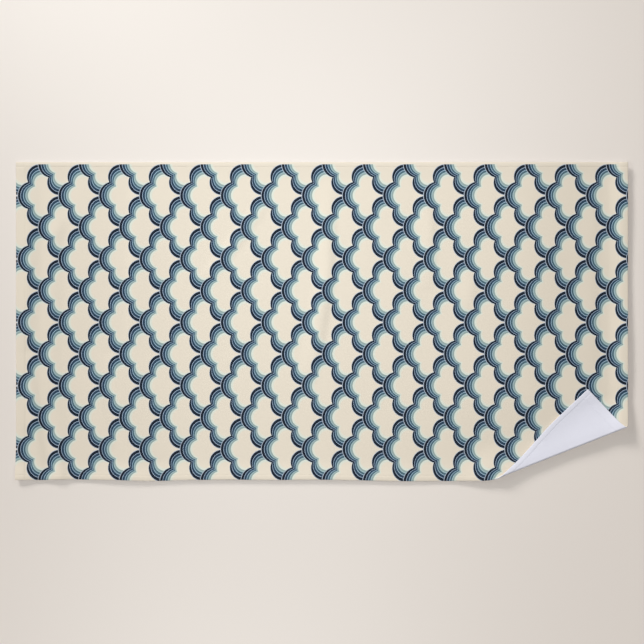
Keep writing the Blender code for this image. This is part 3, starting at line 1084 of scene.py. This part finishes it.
@dataclass
class Towel:
    """The towel's one sheet of cloth, with its hems."""

    lay: Lay
    name: str = "beach_towel"
    spacing_along: float = 0.0062
    spacing_across: float = 0.0074
    flap_spacing: float = 0.0074        # between cuts across the bend lines
    roll_cuts: int = 18
    flap_cut: float = 0.0074            # between cuts along the flap, at the fold's middle
    flap_spare: float = 1.2             # the cuts run on past the flap's tip by this share
    snap: float = 0.0004                # a cut this close to a corner of the mesh goes through it
    edge_cuts: tuple[float, ...] = (0.0002, 0.0006, 0.0013)     # from the edge inwards
    hem_cuts: tuple[float, ...] = (     # from each hem's inner edge, outwards minus
        -0.0080, -0.0053, -0.0039, -0.0025, -0.0011, 0.0003, 0.0020, 0.0040,
    )
    piece: bpy.types.Object | None = field(default=None, init=False)

    def build(self) -> bpy.types.Object:
        """Builds the towel and lays it.

        Returns:
            The finished piece, without its materials.
        """
        self.cut_out()
        self.divide()
        self.give_two_faces()
        self.lay_out()
        LOG.info("%s: %d faces", self.piece.name, len(self.piece.data.polygons))
        return self.piece

    def cut_out(self) -> None:
        """Adds the flat rectangle of cloth."""
        cloth = self.lay.cloth
        select_nothing()
        bpy.ops.mesh.primitive_plane_add(size=1.0)
        self.piece = bpy.context.object
        self.piece.name = self.piece.data.name = self.name
        bpy.ops.object.mode_set(mode="EDIT")
        bpy.ops.transform.resize(value=(cloth.length, cloth.width, 1.0))

    def cut(self, point: Sequence[float], normal: Sequence[float]) -> None:
        """Cuts all the faces that aren't hidden along a line through a point."""
        bpy.ops.mesh.select_all(action="SELECT")
        bpy.ops.mesh.bisect(plane_co=(*point, 0.0), plane_no=(*normal, 0.0), threshold=self.snap)

    def show_only(self, turned_over: bool) -> None:
        """Hides the faces past the line where the cloth lifts, or those before it."""
        corner = self.lay.corner
        drawn = bmesh.from_edit_mesh(self.piece.data)
        faces = list(drawn.faces)
        centres = np.array([face.calc_center_median().xy for face in faces])
        for face, angle in zip(faces, corner.angle(centres)):
            face.hide_set(bool(angle > 0.0) != turned_over)
        bmesh.update_edit_mesh(self.piece.data)

    def bend_lines(self) -> list[float]:
        """Angles of the cuts along the turned corner, from the apex."""
        corner = self.lay.corner
        roll, crown, level, _ = (stretch for stretch, _ in corner.bends)
        angles = [roll * step / self.roll_cuts for step in range(self.roll_cuts + 1)]
        step = self.flap_cut / corner.middle_reach
        tip = corner.fold_up_end / corner.middle_reach * self.flap_spare
        last = roll + crown + level + tip
        return angles + list(np.arange(roll + step, last, step))

    def divide(self) -> None:
        """Divides the cloth along its bend lines, its hems and an even grid."""
        cloth, corner = self.lay.cloth, self.lay.corner
        for angle in self.bend_lines():
            across = Matrix.Rotation(angle, 2) @ Vector(corner.across)
            self.cut(corner.apex, across)
        for inset in (*self.edge_cuts, *(cloth.end_hem + cut for cut in self.hem_cuts)):
            for side in (-1.0, 1.0):
                self.cut((side * (cloth.half_length - inset), 0.0), (1.0, 0.0))
        for inset in (*self.edge_cuts, *(cloth.side_hem + cut for cut in self.hem_cuts)):
            for side in (-1.0, 1.0):
                self.cut((0.0, side * (cloth.half_width - inset)), (0.0, 1.0))
        self.show_only(turned_over=False)
        inner_length = cloth.half_length - cloth.end_hem - self.hem_cuts[-1]
        for along in spaced(-inner_length, inner_length, self.spacing_along):
            self.cut((along, 0.0), (1.0, 0.0))
        inner_width = cloth.half_width - cloth.side_hem - self.hem_cuts[-1]
        for across in spaced(-inner_width, inner_width, self.spacing_across):
            self.cut((0.0, across), (0.0, 1.0))
        bpy.ops.mesh.reveal(select=False)
        self.show_only(turned_over=True)
        ends = (corner.side_end, corner.side_end + corner.fold)
        reaches = [float((point - corner.apex) @ corner.along) for point in ends]
        for reach in spaced(min(reaches), max(reaches) + corner.roll_at_side, self.flap_spacing):
            self.cut(corner.apex + corner.along * reach, corner.along)
        bpy.ops.mesh.reveal(select=False)

    def give_two_faces(self) -> None:
        """Makes the single layer a closed sheet with a front, a back and an edge."""
        bpy.ops.mesh.select_all(action="DESELECT")
        bpy.ops.mesh.select_face_by_sides(number=4, type="GREATER")
        bpy.ops.mesh.quads_convert_to_tris()
        bpy.ops.mesh.select_all(action="SELECT")
        raised = {"value": (0.0, 0.0, self.lay.cloth.terry)}
        bpy.ops.mesh.extrude_region_move(TRANSFORM_OT_translate=raised)
        bpy.ops.mesh.select_all(action="SELECT")
        bpy.ops.mesh.normals_make_consistent(inside=False)
        bpy.ops.object.mode_set(mode="OBJECT")

    def lay_out(self) -> None:
        """Maps the flat cloth, then moves each of its points to where it lies."""
        mesh = self.piece.data
        points = read_points(mesh)
        flat, front = points[:, :2], points[:, 2] > self.lay.cloth.terry / 2
        map_cloth(mesh, flat)
        for polygon in mesh.polygons:
            up = polygon.normal.z > 0.5
            polygon.material_index = (Face.PRINTED if up else Face.PLAIN).value
        points[front] = self.lay.place(flat[front], Face.PRINTED)
        points[~front] = self.lay.place(flat[~front], Face.PLAIN)
        write_points(mesh, points)
        select_nothing()
        self.piece.select_set(True)
        bpy.ops.object.shade_smooth()

    def dress(self, printed: bpy.types.Material, plain: bpy.types.Material) -> None:
        """Gives each face of the towel its material."""
        self.piece.data.materials.append(printed)
        self.piece.data.materials.append(plain)


@dataclass
class HemStitching:
    """The lockstitch seams that hold the hems: printed over on the front, white on the back."""

    lay: Lay
    name: str = "hem_stitching"
    pitch: float = 0.0036               # from one stitch to the next
    stitch: float = 0.0029              # length of thread that shows
    thread: float = 0.00050             # thickness of the thread
    sides: int = 6
    rings: int = 4
    sunk: float = 0.4                   # share of the thread's thickness sunk in the pile
    piece: bpy.types.Object | None = field(default=None, init=False)

    def build(self) -> bpy.types.Object:
        """Sews all the seams flat, joins them and lays them with the cloth.

        Returns:
            The finished piece, without its materials.
        """
        cloth = self.lay.cloth
        seams = []
        for side in (-1.0, 1.0):
            for face in Face:
                seams.append(self.seam(cloth.end_seam, side * cloth.side_seam, 0.0, face))
                seams.append(self.seam(cloth.side_seam, side * cloth.end_seam, math.pi / 2, face))
        select_nothing()
        for seam in seams:
            seam.select_set(True)
        bpy.context.view_layer.objects.active = seams[0]
        bpy.ops.object.join()
        self.piece = bpy.context.object
        self.piece.name = self.piece.data.name = self.name
        self.lay_out()
        LOG.info("%s: %d faces", self.piece.name, len(self.piece.data.polygons))
        return self.piece

    def seam(self, half_length: float, inset: float, turn: float, face: Face) -> bpy.types.Object:
        """Sews one straight seam on one face of the flat cloth, from a single stitch.

        Args:
            half_length: How far the seam runs each way from its middle.
            inset: Where it lies, across its length.
            turn: How far it is turned from the direction of the long sides.
            face: Which face of the cloth it shows on.

        Returns:
            The seam, over the front or under the back of the flat cloth.
        """
        count = round(2.0 * half_length / self.pitch)
        start = -self.pitch * (count - 1) / 2 + (self.pitch / 2 if face is Face.PLAIN else 0.0)
        across = inset if turn == 0.0 else -inset
        select_nothing()
        bpy.ops.mesh.primitive_uv_sphere_add(segments=self.sides, ring_count=self.rings, radius=0.5,
                                             rotation=(0.0, math.pi / 2, 0.0))
        seam = bpy.context.object
        bpy.ops.object.transform_apply(location=False, rotation=True, scale=False)
        bpy.ops.object.mode_set(mode="EDIT")
        bpy.ops.transform.resize(value=(self.stitch, self.thread, self.thread))
        height = self.thread * (0.5 - self.sunk)
        level = self.lay.cloth.terry + height if face is Face.PRINTED else -height
        bpy.ops.transform.translate(value=(start, across, level))
        bpy.ops.object.mode_set(mode="OBJECT")
        run = seam.modifiers.new("run", "ARRAY")
        run.use_relative_offset = False
        run.use_constant_offset = True
        run.constant_offset_displace = (self.pitch, 0.0, 0.0)
        run.count = count
        bpy.ops.object.modifier_apply(modifier=run.name)
        seam.rotation_euler.z = turn
        bpy.ops.object.transform_apply(location=True, rotation=True, scale=True)
        bpy.ops.object.shade_smooth()
        return seam

    def lay_out(self) -> None:
        """Maps the flat seams, then moves each of their points to where the cloth takes it."""
        mesh, terry = self.piece.data, self.lay.cloth.terry
        points = read_points(mesh)
        flat, level = points[:, :2], points[:, 2]
        map_cloth(mesh, flat)
        for polygon in mesh.polygons:
            over = polygon.center.z > terry / 2
            polygon.material_index = (Face.PRINTED if over else Face.PLAIN).value
        front = level > terry / 2
        for face, here, surface in ((Face.PRINTED, front, terry), (Face.PLAIN, ~front, 0.0)):
            lift = self.lay.facing(flat[here]) * (level[here] - surface)[:, None]
            points[here] = self.lay.place(flat[here], face) + lift
        points[:, 2] = np.maximum(points[:, 2], 0.0)
        write_points(mesh, points)
        bpy.ops.object.mode_set(mode="EDIT")
        bpy.ops.mesh.select_all(action="SELECT")
        bpy.ops.mesh.normals_make_consistent(inside=False)
        bpy.ops.object.mode_set(mode="OBJECT")

    def dress(self, printed: bpy.types.Material, plain: bpy.types.Material) -> None:
        """Gives the thread on each face its material."""
        self.piece.data.materials.append(printed)
        self.piece.data.materials.append(plain)


# ---- Studio -------------------------------------------------------------------------------------


class SoftBox(NamedTuple):
    """A square of soft light hung level above the towel."""

    place: Place
    power: float


@dataclass
class Studio:
    """A plain pale floor, soft light and a camera straight above the towel."""

    view_width: float = 1.87372
    view_centre: Place = (0.0, -0.00291)
    lens: float = 400.0
    sensor: float = 36.0
    clip_share: float = 4.0             # it sees this many times as far as the towel
    floor_size: float = 120.0
    floor_colour: Colour = (0.738, 0.680, 0.626)
    floor_patches: float = 1.3          # to a metre
    floor_uneven: float = 0.015         # how much lighter and darker they are
    floor_roughness: float = 0.9
    floor_specular: float = 0.2
    fill: float = 0.05
    warm: Colour = (1.012, 1.0, 0.989)
    cool: Colour = (0.924, 1.0, 1.05)
    box_height: float = 0.8
    box_size: float = 0.8
    soft_boxes: tuple[SoftBox, ...] = (
        SoftBox((-0.80, 1.25), 3.70),
        SoftBox((-0.25, -1.25), 2.17),
        SoftBox((-0.09, 0.21), 2.57),
        SoftBox((0.38, 0.98), 1.17),
    )
    key_strength: float = 2.30
    key_heading: Place = (0.58, -0.81)
    key_elevation: float = math.radians(21.0)
    key_spread: float = math.radians(15.0)
    top_strength: float = 1.608
    top_spread: float = math.radians(7.0)
    lamp_distance: float = 3.0          # where the two far lamps are put; their light is even

    def build(self) -> None:
        """Sets the floor, the light and the camera."""
        self.set_floor()
        self.set_light()
        self.set_camera()
        bpy.context.scene.view_settings.view_transform = "Standard"
        LOG.info("studio: floor, light and camera set")

    def set_floor(self) -> None:
        """Lays a wide pale floor."""
        select_nothing()
        bpy.ops.mesh.primitive_plane_add(size=self.floor_size)
        floor = bpy.context.object
        floor.name = "studio_floor"
        material, bench, shader = new_material("pale_floor")
        spot = bench.term(bench.node("ShaderNodeTexCoord"), "Object")
        broad = bench.node("ShaderNodeTexNoise", Vector=spot, Scale=self.floor_patches, Detail=2.0)
        dark, pale = (opaque(tuple(gain * part for part in self.floor_colour))
                      for gain in (1.0 - self.floor_uneven, 1.0 + self.floor_uneven))
        bench.feed(shader.inputs["Base Color"], bench.blend(dark, pale, bench.term(broad)))
        shader.inputs["Roughness"].default_value = self.floor_roughness
        shader.inputs["Specular IOR Level"].default_value = self.floor_specular
        floor.data.materials.append(material)

    def set_light(self) -> None:
        """Adds a low key, a light straight overhead, the soft boxes and a little fill."""
        select_nothing()
        flat = math.hypot(*self.key_heading)
        low = Vector((*self.key_heading, -flat * math.tan(self.key_elevation)))
        self.hang_far("key_light", low, self.key_strength, self.key_spread)
        self.hang_far("top_light", Vector((0.0, 0.0, -1.0)), self.top_strength, self.top_spread)
        for number, box in enumerate(self.soft_boxes, start=1):
            bpy.ops.object.light_add(type="AREA", location=(*box.place, self.box_height))
            hung = bpy.context.object
            hung.name = f"soft_box_{number}"
            hung.data.size = self.box_size
            hung.data.energy = box.power
            hung.data.color = self.cool
            hung.visible_camera = False
        world = bpy.data.worlds.new("studio_fill")
        bpy.context.scene.world = world
        world.use_nodes = True
        backdrop = world.node_tree.nodes["Background"]
        backdrop.inputs["Color"].default_value = opaque(self.warm)
        backdrop.inputs["Strength"].default_value = self.fill

    def hang_far(self, name: str, heading: Vector, strength: float, spread: float) -> None:
        """Adds one far-off light.

        Args:
            name: What the light is called.
            heading: Which way its light travels.
            strength: How strong it is.
            spread: How wide it looks from the towel.
        """
        bpy.ops.object.light_add(type="SUN", location=-heading * self.lamp_distance)
        hung = bpy.context.object
        hung.name = name
        hung.rotation_mode = "QUATERNION"
        hung.rotation_quaternion = heading.to_track_quat("-Z", "Y")
        hung.data.energy = strength
        hung.data.color = self.warm
        hung.data.angle = spread

    def set_camera(self) -> None:
        """Hangs the camera straight above, far enough off to see the towel without perspective."""
        select_nothing()
        distance = self.view_width * self.lens / self.sensor
        bpy.ops.object.camera_add(location=(*self.view_centre, distance), rotation=(0.0, 0.0, 0.0))
        camera = bpy.context.object
        camera.name = "overhead_camera"
        camera.data.lens = self.lens
        camera.data.sensor_width = self.sensor
        camera.data.clip_end = distance * self.clip_share
        bpy.context.scene.camera = camera


def main() -> None:
    """Builds the towel's pieces and the studio round it."""
    logging.basicConfig(level=logging.INFO, format="%(name)s: %(message)s")
    cloth = Cloth()
    corner = TurnedCorner(cloth, Trim(cloth))
    lay = Lay(cloth, corner, Relief(cloth, corner), Handling())
    pile, tone_and_shade = Pile().build(), ToneAndPileShade().build()
    printed = TerryFinish("printed_velour", tufts=900.0, disorder=1.0, pile=0.00012,
                          tone_and_shade=0.05, roughness=0.92, sheen=0.03)
    plain = TerryFinish("plain_terry", tufts=620.0, disorder=0.6, pile=0.00025,
                        tone_and_shade=0.05, roughness=0.95, sheen=0.15, colour=(0.698, 0.698, 0.772))
    towel = Towel(lay)
    piece = towel.build()
    scales = ScalePrint().build()
    towel.dress(printed.build(pile, tone_and_shade, scales), plain.build(pile, tone_and_shade))
    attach(piece, ROOT_BODY)
    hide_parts(TOWEL_NODE)
    stitching = HemStitching(lay)
    seams = stitching.build()
    stitching.dress(ThreadFinish("printed_thread").build(scales), ThreadFinish("white_thread").build())
    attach(seams, ROOT_BODY)
    Studio().build()


if __name__ == "__main__":
    main()
